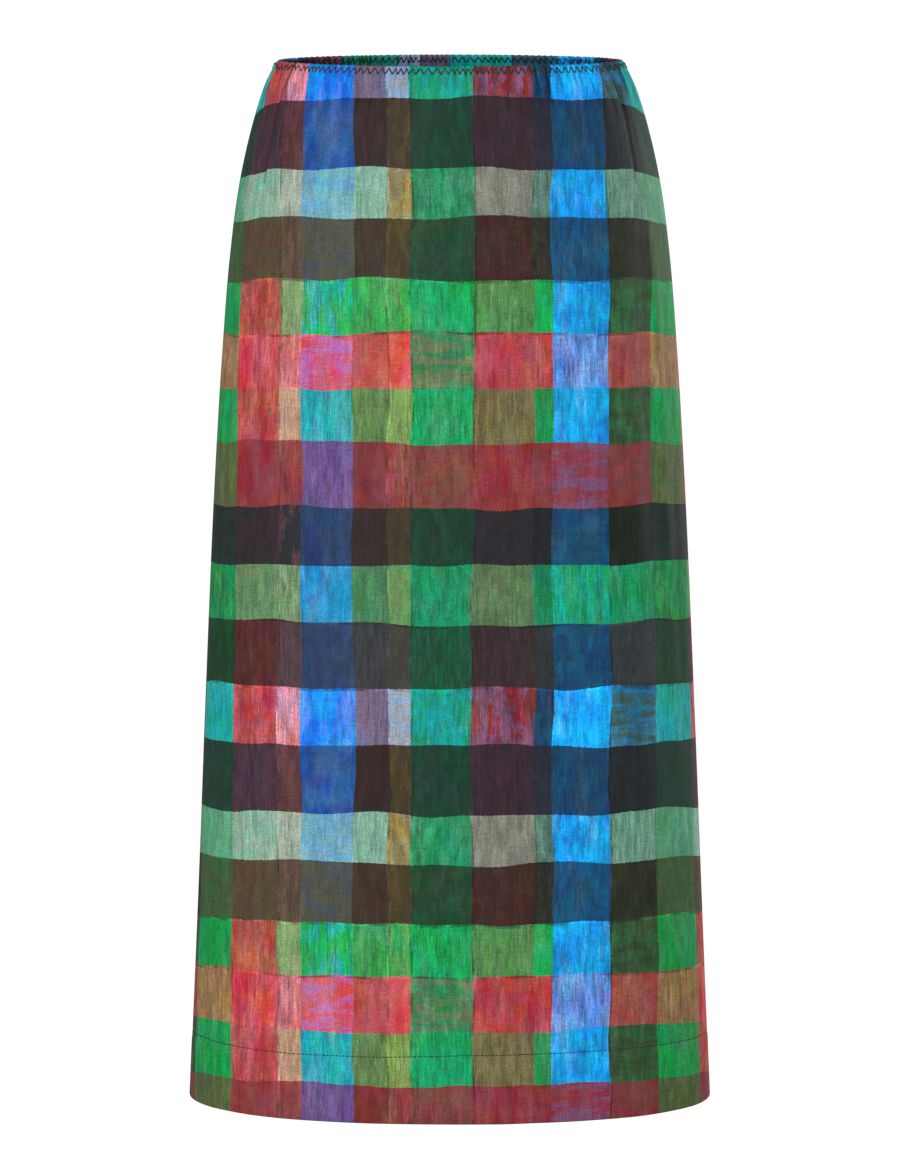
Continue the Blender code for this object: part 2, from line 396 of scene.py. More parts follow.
# Marks of brush and weave: noise with so many waves a metre across and down the cloth, and its reading
Mark = namedtuple("Mark", "across down detail roughness low high least most")
DAUBS = Mark(74.0, 30.0, 5.0, 0.66, 0.45, 0.56, 0.0, 1.0)
SMEARS = Mark(26.0, 105.0, 4.0, 0.62, 0.42, 0.62, 0.0, 1.0)
HUE = Mark(26.0, 34.0, 4.0, 0.60, 0.42, 0.58, 0.490, 0.510)
SATURATION = Mark(70.0, 22.0, 2.0, 0.50, 0.30, 0.70, 0.94, 1.12)
STREAKS = Mark(620.0, 48.0, 4.0, 0.70, 0.34, 0.66, -0.28, 0.28)
STROKES = Mark(170.0, 20.0, 3.0, 0.60, 0.38, 0.62, -0.17, 0.17)
SKIPS = Mark(460.0, 75.0, 4.0, 0.70, 0.56, 0.68, 0.0, 0.42)
BLOTCHES = Mark(120.0, 38.0, 5.0, 0.68, 0.44, 0.62, -0.12, 0.24)
CROSSWISE = Mark(120.0, 520.0, 3.0, 0.60, 0.32, 0.68, 0.91, 1.09)
GRAIN = Mark(1150.0, 760.0, 2.0, 0.60, 0.34, 0.66, 0.76, 1.24)
BORDER_GAPS = Mark(32.0, 30.0, 3.0, 0.60, 0.42, 0.62, -0.50, 0.30)
WEAVE = Mark(1500.0, 1100.0, 2.0, 0.50, 0.0, 1.0, 0.0, 1.0)

# Sewing thread, in linear light: its dark colour and a painted highlight where its twist catches the light,
# mixed unevenly along it
TWISTS_A_METRE = 2600.0
TWIST = Reading(0.35, 0.65, 0.0, 1.0)
DARK_THREAD = (0.003, 0.003, 0.005, 1.0)
THREAD_HIGHLIGHT = (0.016, 0.016, 0.022, 1.0)

# Camera: level distance in front of the waist, height above it, tilt down, and lens on a 36 mm sensor
CAMERA_DISTANCE_M = 5.5
CAMERA_HEIGHT_M = 0.279
CAMERA_TILT_DEG = 7.263
CAMERA_LENS = 212.1
SENSOR = 36.0

# The plain room: its floor, walls and ceiling are this far from the skirt, and glow a little
ROOM_REACH_M = 16.0
ROOM_PAINT = (0.9, 0.9, 0.9, 1.0)
ROOM_ROUGHNESS = 0.9
ROOM_GLOW = 0.84

# Studio light: square lamps, their place and size in metres and power in watts, aimed at the skirt's middle
WHITE = (1.0, 1.0, 1.0, 1.0)
WORLD_LIGHT = 0.20
LAMP_AIM = (0.0, 0.0, -0.42)
Lamp = namedtuple("Lamp", "name place size power gloss")
LAMPS = (
    Lamp("key_light", (-2.3, -3.4, 0.15), 0.8, 118.0, True),
    Lamp("fill_light", (2.2, -3.4, 0.15), 1.2, 64.0, True),
    Lamp("left_edge_light", (-2.9, 0.5, 0.0), 0.6, 8.0, True),
    Lamp("right_edge_light", (2.6, 1.3, 0.1), 0.5, 27.0, True),
    Lamp("back_light", (1.6, 3.8, -0.1), 0.9, 176.0, False),
)


def section(column, drop):
    """A column of SECTIONS at an array of drops: the cubic through the table with the table's own slopes."""
    drops = np.array([row.drop for row in SECTIONS])
    values = np.array([getattr(row, column) for row in SECTIONS])
    slopes = np.gradient(values, drops)
    low = np.clip(np.searchsorted(drops, drop) - 1, 0, len(drops) - 2)
    span = drops[low + 1] - drops[low]
    t = (drop - drops[low]) / span
    return (
        (2 * t**3 - 3 * t**2 + 1) * values[low]
        + (t**3 - 2 * t**2 + t) * span * slopes[low]
        + (3 * t**2 - 2 * t**3) * values[low + 1]
        + (t**3 - t**2) * span * slopes[low + 1]
    )


def ring_tables(row_step, samples):
    """Tables of the skirt's level rings, a row every row_step and a column for each share of a full turn.

    A ring is x = half width times cos to the power 2 / squareness, y = depth times sin to that power.
    Its points are spread again by length along its edge, each half of the turn by itself.
    """
    drops = np.arange(0.0, SKIRT_LENGTH + 2 * row_step, row_step)
    angle = np.linspace(0.0, TURN, samples)
    along, across = -np.cos(angle), -np.sin(angle)
    share = np.linspace(0.0, 1.0, samples)
    tables = np.empty((5, len(drops), samples))
    for row, drop in enumerate(np.minimum(drops, SKIRT_LENGTH)):
        width, square = section("half_width", drop), section("squareness", drop)
        depth = np.where(across > 0, section("back", drop), section("front", drop))
        x = width * np.sign(along) * np.abs(along) ** (2.0 / square)
        y = depth * np.sign(across) * np.abs(across) ** (2.0 / square)
        out_x = np.sign(along) * np.abs(x) ** (square - 1) / width**square
        out_y = np.sign(across) * np.abs(y) ** (square - 1) / depth**square
        size = np.hypot(out_x, out_y)
        edge = np.concatenate([[0.0], np.cumsum(np.hypot(np.diff(x), np.diff(y)))])
        middle, end = edge[samples // 2], edge[-1]
        wanted = np.where(share <= 0.5, 2 * share * middle, middle + (2 * share - 1) * (end - middle))
        for table, values in zip(tables, (x, y, out_x / size, out_y / size, edge)):
            table[row] = np.interp(wanted, edge, values)
    return tables


RINGS = ring_tables(ROW_STEP, RING_SAMPLES)


def on_rings(place, drop):
    """x, y, outward x, outward y and length along the edge at places and drops, read between table rows."""
    row = np.clip(drop / ROW_STEP, 0, RINGS.shape[1] - SHORT_OF_END)
    column = np.clip(place * (RINGS.shape[2] - 1), 0, RINGS.shape[2] - SHORT_OF_END)
    r, c = row.astype(int), column.astype(int)
    fr, fc = row - r, column - c
    return (
        RINGS[:, r, c] * (1 - fr) * (1 - fc)
        + RINGS[:, r + 1, c] * fr * (1 - fc)
        + RINGS[:, r, c + 1] * (1 - fr) * fc
        + RINGS[:, r + 1, c + 1] * fr * fc
    )


def edge_at(place, drop):
    """Length along the ring's edge, at each drop, of one place round the skirt."""
    return on_rings(np.full_like(drop, place), drop)[4]


def bunched(place):
    """Where a column of the gathers lies: its place, shifted by the slow waves of BUNCHING."""
    shift = np.zeros_like(place)
    for row in BUNCHING:
        turn = TURN * row.waves * place
        shift += row.sine * np.sin(turn) + row.cosine * (np.cos(turn) - 1)
    return place + shift


def ease(t):
    """The smooth step 3 t squared - 2 t cubed, held at 0 and 1 outside."""
    t = np.clip(t, 0.0, 1.0)
    return t * t * (3 - 2 * t)


def bump(distance, half_width):
    """A bell: e to the power of minus the squared distance in half widths."""
    return np.exp(-((distance / half_width) ** 2))


def wave_product(waves, place):
    """Sines round the skirt multiplied together: strong in some places and still in others."""
    product = np.ones_like(place)
    for wave in waves:
        product = product * np.sin(TURN * wave.count * place + wave.phase)
    return product


def crowded(place, count, crowds, crowding):
    """The angle of count waves round the skirt, which a slow sine of crowds waves crowds and spreads."""
    return TURN * count * place + crowding * np.sin(TURN * crowds * place)


def gather_height(place, drop):
    """Height of the gathers: a flat ridge and a sharp valley for each, dying out down the cloth."""
    height = np.full_like(place, GATHER_HEIGHT)
    reach = np.full_like(place, GATHER_REACH)
    for row in VARIETIES:
        wave = np.sin(TURN * row.waves * place + row.phase)
        height += GATHER_HEIGHT * row.height * wave
        reach += GATHER_REACH * row.reach * wave
    height *= SHARE_AT_EDGE + (1 - SHARE_AT_EDGE) * ease(drop / CASING_DEPTH)
    wave = TURN * GATHERS * place
    return height * ease(1 - drop / reach) * (np.cos(wave) - VALLEY * np.cos(2 * wave))


def fine_gather_height(place, drop):
    """Height of the finer gathers: a crowding cosine, higher and longer in its patches, dying out sooner."""
    patchy = FINE_GATHER_MEAN + FINE_GATHER_CHANGE * wave_product(FINE_GATHER_PATCHES, place)
    dying = ease(1 - drop / (FINE_GATHER_REACH * patchy + FINE_GATHER_LEAST_REACH))
    angle = crowded(place, FINE_GATHERS, FINE_GATHER_CROWDS, FINE_GATHER_CROWDING)
    return FINE_GATHER_HEIGHT * patchy * dying * np.cos(angle)


def pucker_height(place, drop):
    """Height of the puckers at the zigzag: a slanted cosine a zigzag, gone below the stitching."""
    fade = ease(drop / PUCKER_START) * ease(1 - drop / PUCKER_REACH)
    return PUCKER_HEIGHT * fade * np.cos(TURN * ZIGZAGS * place + PUCKER_SLANT * drop)


def dart_lines(drop):
    """For each dart, where its seam runs at each drop and how much of it is left there, from 1 to 0."""
    for dart in DARTS:
        down = np.clip(drop / dart.length, 0.0, 1.0)
        yield dart, dart.top + (dart.tip - dart.top) * down, 1 - down


def dart_height(edge, drop):
    """How the darts draw the cloth in: a wide bell and a narrow groove along each seam, gone at the tip."""
    height = np.zeros_like(edge)
    for dart, seam, left in dart_lines(drop):
        away = edge - on_rings(seam, drop)[4]
        height -= dart.depth * left * bump(away, dart.half_width)
        groove = DART_GROOVE_DEPTH * ease(left / DART_GROOVE_TAPER)
        height -= groove * bump(away, DART_GROOVE_HALF_WIDTH)
    return height


def fold_height(edge, drop):
    """Height of the long folds and creases: bells across, easing in and out along a third of their length."""
    height = np.zeros_like(edge)
    for fold in FOLDS + CREASES:
        inside = (drop - fold.first) / (fold.last - fold.first)
        dying = 1.0 if fold.last == SKIRT_LENGTH else ease((1 - inside) / FOLD_TAPER)
        away = edge - edge_at(fold.place, drop)
        height += fold.height * ease(inside / FOLD_TAPER) * dying * bump(away, fold.half_width)
    return height


def tuck_height(edge, drop):
    """Depth of the short tucks: narrow bells across, whole at the waist edge and gone at their reach."""
    height = np.zeros_like(edge)
    for tuck in TUCKS:
        away = edge - edge_at(tuck.place, drop)
        height -= tuck.depth * ease(1 - drop / tuck.reach) * bump(away, TUCK_HALF_WIDTH)
    return height


def hem_stitch_drop(place):
    """Drop of the hem's stitch line: the turn-up's edge plus its hand-guided strays, joined smoothly."""
    places = np.array([row.place for row in HEM_STRAYS])
    drops = np.array([row.drop for row in HEM_STRAYS])
    low = np.clip(np.searchsorted(places, place) - 1, 0, len(places) - 2)
    t = ease((place - places[low]) / (places[low + 1] - places[low]))
    stray = drops[low] * (1 - t) + drops[low + 1] * t
    return SKIRT_LENGTH - HEM_DEPTH + HEM_STITCH_INSET + stray


def hem_height(place, drop):
    """The stitch line's dimple with its small puckers, and the fullness of the doubled hem below it."""
    away = drop - hem_stitch_drop(place)
    angle = crowded(place, HEM_PUCKERS, HEM_PUCKER_CROWDS, HEM_PUCKER_CROWDING)
    depth = HEM_DIMPLE_DEPTH * (1.0 + HEM_PUCKER_CHANGE * np.sin(angle))
    fullness = HEM_FULLNESS * ease((away - HEM_FULLNESS_START) / HEM_FULLNESS_WIDTH)
    return fullness - depth * bump(away, HEM_DIMPLE_HALF_WIDTH)


def softness(place, drop):
    """The cloth's unevenness: each swell is a leaning sine times a slower one, plus the hem's waves."""
    down = drop / SKIRT_LENGTH
    height = np.zeros_like(place)
    for swell in SWELLS:
        wave = np.sin(TURN * (swell.count * place + swell.slant * down) + swell.phase)
        height += swell.height * wave * np.sin(TURN * (swell.patches * place + swell.patch_slant * down))
    near_hem = ease((down - HEM_WAVE_START) / (1 - HEM_WAVE_START))
    return height * ease(drop / SWELL_START) + HEM_WAVE_HEIGHT * near_hem * wave_product(HEM_WAVES, place)


def relief(place, edge, drop):
    """Everything that raises or lowers the cloth from the smooth ring."""
    return (
        gather_height(place, drop)
        + fine_gather_height(place, drop)
        + pucker_height(place, drop)
        + dart_height(edge, drop)
        + fold_height(edge, drop)
        + tuck_height(edge, drop)
        + hem_height(place, drop)
        + softness(place, drop)
    )


def skirt_points(place, drop, outward, first=None, last=None):
    """Points on the cloth in metres at places and drops, their level normals and their length along the edge.

    The ring's point moves along its normal by the relief plus outward, and down by the scallops of the waist
    edge. first and last are a panel's seams, where its end columns roll in.
    """
    x, y, out_x, out_y, edge = on_rings(bunched(place), drop)
    height = relief(place, edge, drop) + outward
    if first is not None:
        start, end = edge - edge_at(first, drop), edge_at(last, drop) - edge
        height = height - SEAM_ROLL * (bump(start, SEAM_ROLL_HALF_WIDTH) + bump(end, SEAM_ROLL_HALF_WIDTH))
    scallop = SCALLOP * ease(1 - drop / PUCKER_REACH) * (0.5 - 0.5 * np.cos(TURN * ZIGZAGS * place))
    points = np.stack([x + out_x * height, y + out_y * height, -drop - scallop], axis=-1) * MM
    normals = np.stack([out_x, out_y, np.zeros_like(out_x)], axis=-1)
    return points, normals, edge


def grid_faces(rows, columns, closed=False):
    """Quads of a grid of points in rows, facing right of down. Closed joins its last column to the first."""
    row, column = np.meshgrid(np.arange(rows - 1), np.arange(columns - (not closed)), indexing="ij")
    here, below = row * columns, (row + 1) * columns
    right = (column + 1) % columns
    return np.stack([here + column, below + column, below + right, here + right], axis=-1).reshape(-1, 4)


def mesh_piece(name, points, faces, materials, uv=None, attributes=None):
    """A smooth-shaded mesh object from arrays of points, quads and, for each point, UVs and attributes."""
    points = np.ascontiguousarray(points.reshape(-1, 3), dtype=np.float32)
    faces = np.ascontiguousarray(faces, dtype=np.int32)
    mesh = bpy.data.meshes.new(name)
    mesh.vertices.add(len(points))
    mesh.vertices.foreach_set("co", points.ravel())
    mesh.loops.add(faces.size)
    mesh.loops.foreach_set("vertex_index", faces.ravel())
    mesh.polygons.add(len(faces))
    mesh.polygons.foreach_set("loop_start", np.arange(0, faces.size, 4, dtype=np.int32))
    mesh.update(calc_edges=True)
    mesh.shade_smooth()
    if uv is not None:
        layer = mesh.uv_layers.new(name="cloth")
        layer.uv.foreach_set("vector", uv.reshape(-1, 2)[faces.ravel()].astype(np.float32).ravel())
    for title, values in (attributes or {}).items():
        attribute = mesh.attributes.new(title, "FLOAT", "POINT")
        attribute.data.foreach_set("value", values.ravel().astype(np.float32))
    for material in materials:
        mesh.materials.append(material)
    piece = bpy.data.objects.new(name, mesh)
    bpy.context.scene.collection.objects.link(piece)
    return piece


def thicken(piece, thickness, inner_material):
    """Gives a cloth surface its thickness on its wrong side, with that side's own material."""
    solid = piece.modifiers.new("cloth_thickness", "SOLIDIFY")
    solid.thickness = thickness * MM
    solid.offset = -1.0
    solid.material_offset = inner_material


def cloth_path():
    """The cloth's way in section: drop, depth inward and length along it, from casing edge to turn-up edge.

    Up the inside of the casing, over the waist in a half circle, down the outside, round the hem in a half
    circle and up the inside of the turn-up. The length is 0 at the top of the waist fold.
    """
    top, hem = WAIST_FOLD_RADIUS, HEM_FOLD_RADIUS
    bend = np.linspace(0.0, math.pi, FOLD_STEPS + 1)
    outside = np.concatenate([np.linspace(s.first, s.last, s.steps + 1)[1:] for s in OUTSIDE])
    casing = np.linspace(CASING_DEPTH, top, CASING_STEPS + 1)[:-1]
    turnup = np.linspace(SKIRT_LENGTH - hem, SKIRT_LENGTH - HEM_DEPTH, TURNUP_STEPS + 1)[1:]
    drop = np.concatenate([casing, top - top * np.sin(bend), outside])
    inward = np.concatenate([np.full_like(casing, 2 * top), top + top * np.cos(bend), np.zeros_like(outside)])
    drop = np.concatenate([drop, SKIRT_LENGTH - hem + hem * np.sin(bend[1:]), turnup])
    inward = np.concatenate([inward, hem - hem * np.cos(bend[1:]), np.full_like(turnup, 2 * hem)])
    length = np.concatenate([[0.0], np.cumsum(np.hypot(np.diff(drop), np.diff(inward)))])
    return drop, inward, length - length[len(casing) + FOLD_STEPS // 2]


def cloth_coordinates(panel, edge, drop, length):
    """The print's own coordinates in metres, across and down the cloth as it was cut.

    Across is the length round the ring from the panel's centre, plus the cloth that a dart takes out past
    its seam. Down is the length along the cloth, less the droop: the cube of the share of the way to the side
    seam, a step at the dart, and a slope past it that has a set width and fades down the hip.
    """
    centre = edge_at(panel.centre, drop)
    across = edge - centre
    side = np.where(across < 0, edge_at(panel.first, drop), edge_at(panel.last, drop)) - centre
    share = np.abs(across) / np.maximum(np.abs(side), 1.0)
    droop = SIDE_DROOP * share**3
    taken = np.zeros_like(across)
    for dart, seam, left in dart_lines(drop):
        if panel.first < dart.top < panel.last:
            seam_edge = on_rings(seam, drop)[4] - centre
            past = np.where(seam_edge < 0, seam_edge - across, across - seam_edge)
            beyond = ease(past / DART_BLEND)
            taken += np.sign(seam_edge) * beyond * DART_INTAKE * left
            fade = ease(1 - drop / DART_SLOPE_REACH)
            slope = DART_SLOPE * np.clip(past, 0.0, DART_SLOPE_WIDTH) * fade
            droop += beyond * DART_STEP * ease(left / DART_STEP_TAPER) + slope
    return np.stack([across + taken + panel.across, length - droop + panel.down], axis=-1) * MM


def seam_shade_distance(panel, edge, drop):
    """Distance to the panel's nearest seam, dart line or hem fold, up to a set reach; it sets the painted
    shade that darkens the print there.

    A dart line counts as nearer than it is, so that its painted shade shows wider, and ends at its tip.
    """
    away = np.minimum(edge - edge_at(panel.first, drop), edge_at(panel.last, drop) - edge)
    away = np.minimum(away, SKIRT_LENGTH - drop + HEM_FOLD_SHADE_AWAY)
    for dart, seam, left in dart_lines(drop):
        if panel.first < dart.top < panel.last:
            line = DART_SHADE_SHARE * np.abs(edge - on_rings(seam, drop)[4])
            away = np.minimum(away, np.where(left > DART_SHADE_END, line, SEAM_SHADE_REACH))
    return np.clip(away, 0.0, SEAM_SHADE_REACH)


def cloth_panel(panel, materials):
    """One panel of cloth: columns run between its seams and rows follow the cloth's way in section."""
    columns = round(COLUMNS_A_TURN * (panel.last - panel.first)) + 1
    drop, inward, length = cloth_path()
    place = np.linspace(panel.first, panel.last, columns)
    place, drop = np.meshgrid(place, drop)
    inward, length = inward[:, None] + 0 * place, length[:, None] + 0 * place
    points, _, edge = skirt_points(place, drop, -inward, panel.first, panel.last)
    piece = mesh_piece(
        f"{panel.name}_cloth",
        points,
        grid_faces(*place.shape),
        materials,
        uv=cloth_coordinates(panel, edge, drop, length),
        # The distance that sets the painted shade along seams, dart lines and the hem fold
        attributes={"seam_shade_mm": seam_shade_distance(panel, edge, drop)},
    )
    thicken(piece, CLOTH_THICKNESS, 1)
    return piece


def thread_tube(place, drop, outward, closed, share=1.0):
    """A flattened thread along a path on the cloth: an ellipse across the path at each of its points.

    share is its thickness beside the waist's thread. The last point of a closed path comes before its first.
    """
    points, normals, _ = skirt_points(place, drop, outward)
    if closed:
        tangent = np.roll(points, -1, axis=0) - np.roll(points, 1, axis=0)
    else:
        tangent = np.gradient(points, axis=-2)
    tangent /= np.linalg.norm(tangent, axis=-1, keepdims=True)
    side = np.cross(normals, tangent)
    side /= np.linalg.norm(side, axis=-1, keepdims=True)
    angle = np.linspace(0.0, TURN, THREAD_SIDES, endpoint=False)
    wide = (np.cos(angle) * THREAD_HALF_WIDTH * share * MM)[:, None]
    high = (np.sin(angle) * THREAD_HALF_HEIGHT * share * MM)[:, None]
    return points[..., None, :] + side[..., None, :] * wide + normals[..., None, :] * high


def zigzag_thread(name, outward, material):
    """The zigzag all round the waist: an arcsine of a sine, which is a triangle wave with rounded turns."""
    count = ZIGZAGS * ZIGZAG_POINTS
    place = np.arange(count) / count
    wave = np.arcsin(ZIGZAG_SHARPNESS * np.sin(TURN * ZIGZAGS * place)) / math.asin(ZIGZAG_SHARPNESS)
    drop = ZIGZAG_DROP + ZIGZAG_HALF_HEIGHT * wave
    tube = thread_tube(place, drop, np.full_like(place, outward), closed=True)
    tube = np.concatenate([tube, tube[:1]], axis=0)
    return mesh_piece(name, tube, grid_faces(count + 1, THREAD_SIDES, closed=True), [material])


def hem_thread(name, outward, material):
    """The hem's stitches: short threads in line, whose lift falls with the fourth power towards both ends."""
    along = np.linspace(-1.0, 1.0, HEM_STITCH_POINTS)
    middle = (np.arange(HEM_STITCHES) + 0.5) / HEM_STITCHES
    place = middle[:, None] + along * HEM_STITCH_SHARE / HEM_STITCHES
    lift = outward * (1.0 - HEM_STITCH_DIP * along**4) + 0 * place
    tube = thread_tube(place, hem_stitch_drop(place), lift, closed=False, share=HEM_THREAD_SHARE)
    faces = grid_faces(HEM_STITCH_POINTS, THREAD_SIDES, closed=True)
    offsets = (np.arange(HEM_STITCHES) * HEM_STITCH_POINTS * THREAD_SIDES)[:, None, None]
    return mesh_piece(name, tube, (faces + offsets).reshape(-1, 4), [material])


def seam_allowance(name, seam, materials):
    """A seam pressed open inside: a strip across it, set in by its depth, that follows the darts and folds.

    Its edges lift off the cloth by the square of the way from the seam, in ripples.
    """
    across = np.linspace(-ALLOWANCE_HALF_WIDTH, ALLOWANCE_HALF_WIDTH, ALLOWANCE_COLUMNS)
    drop = np.linspace(ALLOWANCE_FIRST, ALLOWANCE_LAST, ALLOWANCE_ROWS)
    across, drop = np.meshgrid(across, drop)
    around = edge_at(FULL_TURN if seam == RIGHT_SIDE else seam, drop)
    half, total = edge_at(LEFT_SIDE, drop), edge_at(FULL_TURN, drop)
    length = (around + across) % total
    on_front = LEFT_SIDE * length / half
    on_back = LEFT_SIDE + (FULL_TURN - LEFT_SIDE) * (length - half) / (total - half)
    x, y, out_x, out_y, edge = on_rings(np.where(length <= half, on_front, on_back), drop)
    ripple = 1 + np.sin(drop / ALLOWANCE_RIPPLE + across)
    lifted = ALLOWANCE_LIFT * (across / ALLOWANCE_HALF_WIDTH) ** 2 * ripple
    height = dart_height(edge, drop) + fold_height(edge, drop) - ALLOWANCE_DEPTH - lifted
    points = np.stack([x + out_x * height, y + out_y * height, -drop], axis=-1) * MM
    uv = np.stack([across, drop], axis=-1) * MM
    faces = grid_faces(*across.shape)[:, ::-1]
    # Painted shade along the seam line in the middle of the strip, from the distance to it
    piece = mesh_piece(name, points, faces, materials, uv=uv, attributes={"seam_shade_mm": np.abs(across)})
    thicken(piece, ALLOWANCE_THICKNESS, 0)
    return piece


def linear(colour):
    """A display colour from 0 to 255 as linear light, with the usual display curve."""
    value = np.array(colour) / 255.0
    value = np.where(value <= 0.04045, value / 12.92, ((value + 0.055) / 1.055) ** 2.4)
    return tuple(float(v) for v in value)


class Nodes:
    """Short calls for a material's node tree: add a node, set its inputs by value or by link."""

    def __init__(self, name):
        self.material = bpy.data.materials.new(name)
        self.material.use_nodes = True
        self.tree = self.material.node_tree
        self.shader = self.tree.nodes["Principled BSDF"]

    def feed(self, socket, value):
        """Links an output to a socket, or sets the socket's own value."""
        if isinstance(value, bpy.types.NodeSocket):
            self.tree.links.new(value, socket)
        else:
            socket.default_value = value

    def add(self, kind, inputs=(), **settings):
        """A node with its settings and its inputs, given by position or by name."""
        node = self.tree.nodes.new(kind)
        for key, value in settings.items():
            setattr(node, key, value)
        for key, value in dict(inputs).items():
            self.feed(node.inputs[key], value)
        return node

    def maths(self, operation, first, second=0.0, third=0.0):
        """One Math node's value."""
        inputs = {0: first, 1: second, 2: third}
        return self.add("ShaderNodeMath", inputs, operation=operation).outputs[0]

    def noise(self, vector, scale, detail=2.0, roughness=0.5):
        """A flat Noise Texture's value, mostly from about 0.3 to 0.7."""
        inputs = {"Vector": vector, "Scale": scale, "Detail": detail, "Roughness": roughness}
        return self.add("ShaderNodeTexNoise", inputs, noise_dimensions="2D").outputs["Fac"]

    def brushed(self, cloth, mark):
        """The noise of one kind of mark, stretched to its waves across and down the cloth."""
        inputs = {"Vector": cloth, "Scale": (mark.across, mark.down, 1.0)}
        stretched = self.add("ShaderNodeMapping", inputs).outputs["Vector"]
        return self.noise(stretched, 1.0, mark.detail, mark.roughness)

    def span(self, value, low, high, to_low, to_high, kind="LINEAR"):
        """A value mapped from one range to another and held there."""
        inputs = {"Value": value, "From Min": low, "From Max": high, "To Min": to_low, "To Max": to_high}
        return self.add("ShaderNodeMapRange", inputs, interpolation_type=kind).outputs["Result"]

    def read(self, value, reading, kind="LINEAR"):
        """A value read as a Reading, or as a Mark, says."""
        return self.span(value, reading.low, reading.high, reading.least, reading.most, kind)

    def mark(self, cloth, mark, kind="LINEAR"):
        """One kind of mark over the cloth, read as its table says."""
        return self.read(self.brushed(cloth, mark), mark, kind)

    def mix(self, share, first, second, blend="MIX"):
        """Two colours mixed by a share."""
        node = self.add("ShaderNodeMix", data_type="RGBA", blend_type=blend)
        self.feed(node.inputs["Factor"], share)
        self.feed(node.inputs["A"], first)
        self.feed(node.inputs["B"], second)
        return node.outputs["Result"]

    def mix_values(self, share, first, second):
        """Two values mixed by a share."""
        away = self.maths("SUBTRACT", second, first)
        return self.maths("MULTIPLY_ADD", away, share, first)

    def steps(self, position, starts, colours):
        """A ramp that jumps to each colour at its start."""
        node = self.add("ShaderNodeValToRGB", {"Fac": position})
        ramp = node.color_ramp
        ramp.interpolation = "CONSTANT"
        ramp.elements.remove(ramp.elements[-1])
        for start in starts[1:]:
            ramp.elements.new(start)
        for element, start, colour in zip(ramp.elements, starts, colours):
            element.position = start
            element.color = colour
        return node

    def bands(self, position, bands, colours):
        """A ramp of bands by width, and another that is 1 in a fine line at each band's start and else 0."""
        total = sum(band.width for band in bands)
        starts = [sum(band.width for band in bands[:index]) / total for index in range(len(bands))]
        ends = [start + BORDER_LINE / total for start in starts]
        lines = [place for pair in zip(starts, ends) for place in pair]
        marks = [WHITE, (0.0, 0.0, 0.0, 1.0)] * len(bands)
        return self.steps(position, starts, colours), self.steps(position, lines, marks)


def print_positions(nodes, cloth):
    """Where a point lies in the repeat of the stripes and in that of the washes, as shares from 0 to 1.

    Each is the length along the print, moved by slow and by ragged noise, over the sum of the bands' widths.
    """
    lengths = nodes.add("ShaderNodeSeparateXYZ", {0: cloth}).outputs
    slow = {"Vector": cloth, "Scale": WANDER_SCALE, "Detail": 1.0}
    wander = nodes.add("ShaderNodeTexNoise", slow, noise_dimensions="2D").outputs["Color"]
    drifts = nodes.add("ShaderNodeSeparateXYZ", {0: wander}).outputs
    ragged = nodes.read(nodes.noise(cloth, RAGGED_SCALE), RAGGED_EDGE)
    positions = []
    readings = (WANDER_ACROSS, WANDER_DOWN)
    for length, drift, reading, bands in zip(lengths, drifts, readings, (STRIPES, WASHES)):
        stray = nodes.maths("ADD", nodes.read(drift, reading), ragged)
        repeat = sum(band.width for band in bands) * MM
        share = nodes.maths("DIVIDE", nodes.maths("ADD", length, stray), repeat)
        positions.append(nodes.maths("FRACT", share))
    return positions


def crossing_draws(nodes, stripe, wash):
    """A crossing's four values: white noise at its stripe's colour times the key plus its wash's colour."""
    inputs = {0: stripe, 1: CROSSING_KEY, 2: wash}
    place = nodes.add("ShaderNodeVectorMath", inputs, operation="MULTIPLY_ADD").outputs[0]
    drawn = nodes.add("ShaderNodeTexWhiteNoise", {"Vector": place})
    parts = nodes.add("ShaderNodeSeparateXYZ", {0: drawn.outputs["Color"]})
    return Own(drawn.outputs["Value"], *parts.outputs)


def painted_colour(nodes, cloth, stripe, wash, cover, own):
    """A wash over a stripe: the two mixed by the wash's cover, with a slight drift of hue and saturation.

    A dark wash dulls the stripe. A crossing changes its cover by its own share of 4 times cover times what is
    bare, so none and full stay so. The cover is then sharpened, halved where there are daubs and turned round
    where there are smears.
    """
    depth = nodes.add("ShaderNodeRGBToBW", {0: wash}).outputs[0]
    dulling = nodes.span(depth, DARK_WASH, LIGHT_WASH, nodes.read(own.patches, OWN_DULLING), 1.0)
    dulled = nodes.add("ShaderNodeVectorMath", {0: stripe, "Scale": dulling}, operation="SCALE").outputs[0]
    bare = nodes.maths("SUBTRACT", 1.0, cover)
    freedom = nodes.maths("MULTIPLY", bare, nodes.maths("MULTIPLY", cover, 4.0))
    cover = nodes.maths("MULTIPLY_ADD", nodes.read(own.cover, OWN_COVER), freedom, cover)
    cover = nodes.read(cover, SHARPER_COVER, "SMOOTHSTEP")
    daubs = nodes.mark(cloth, DAUBS, "SMOOTHSTEP")
    daubs = nodes.maths("MULTIPLY", daubs, nodes.read(own.patches, OWN_DAUBS))
    cover = nodes.mix_values(daubs, cover, 0.5)
    smears = nodes.mark(cloth, SMEARS, "SMOOTHSTEP")
    smears = nodes.maths("MULTIPLY", smears, nodes.read(own.streaks, OWN_SMEARS))
    cover = nodes.mix_values(smears, cover, nodes.maths("SUBTRACT", 1.0, cover))
    painted = nodes.mix(cover, dulled, wash)
    drift = {"Hue": nodes.mark(cloth, HUE), "Saturation": nodes.mark(cloth, SATURATION), "Color": painted}
    return nodes.add("ShaderNodeHueSaturation", drift).outputs["Color"]


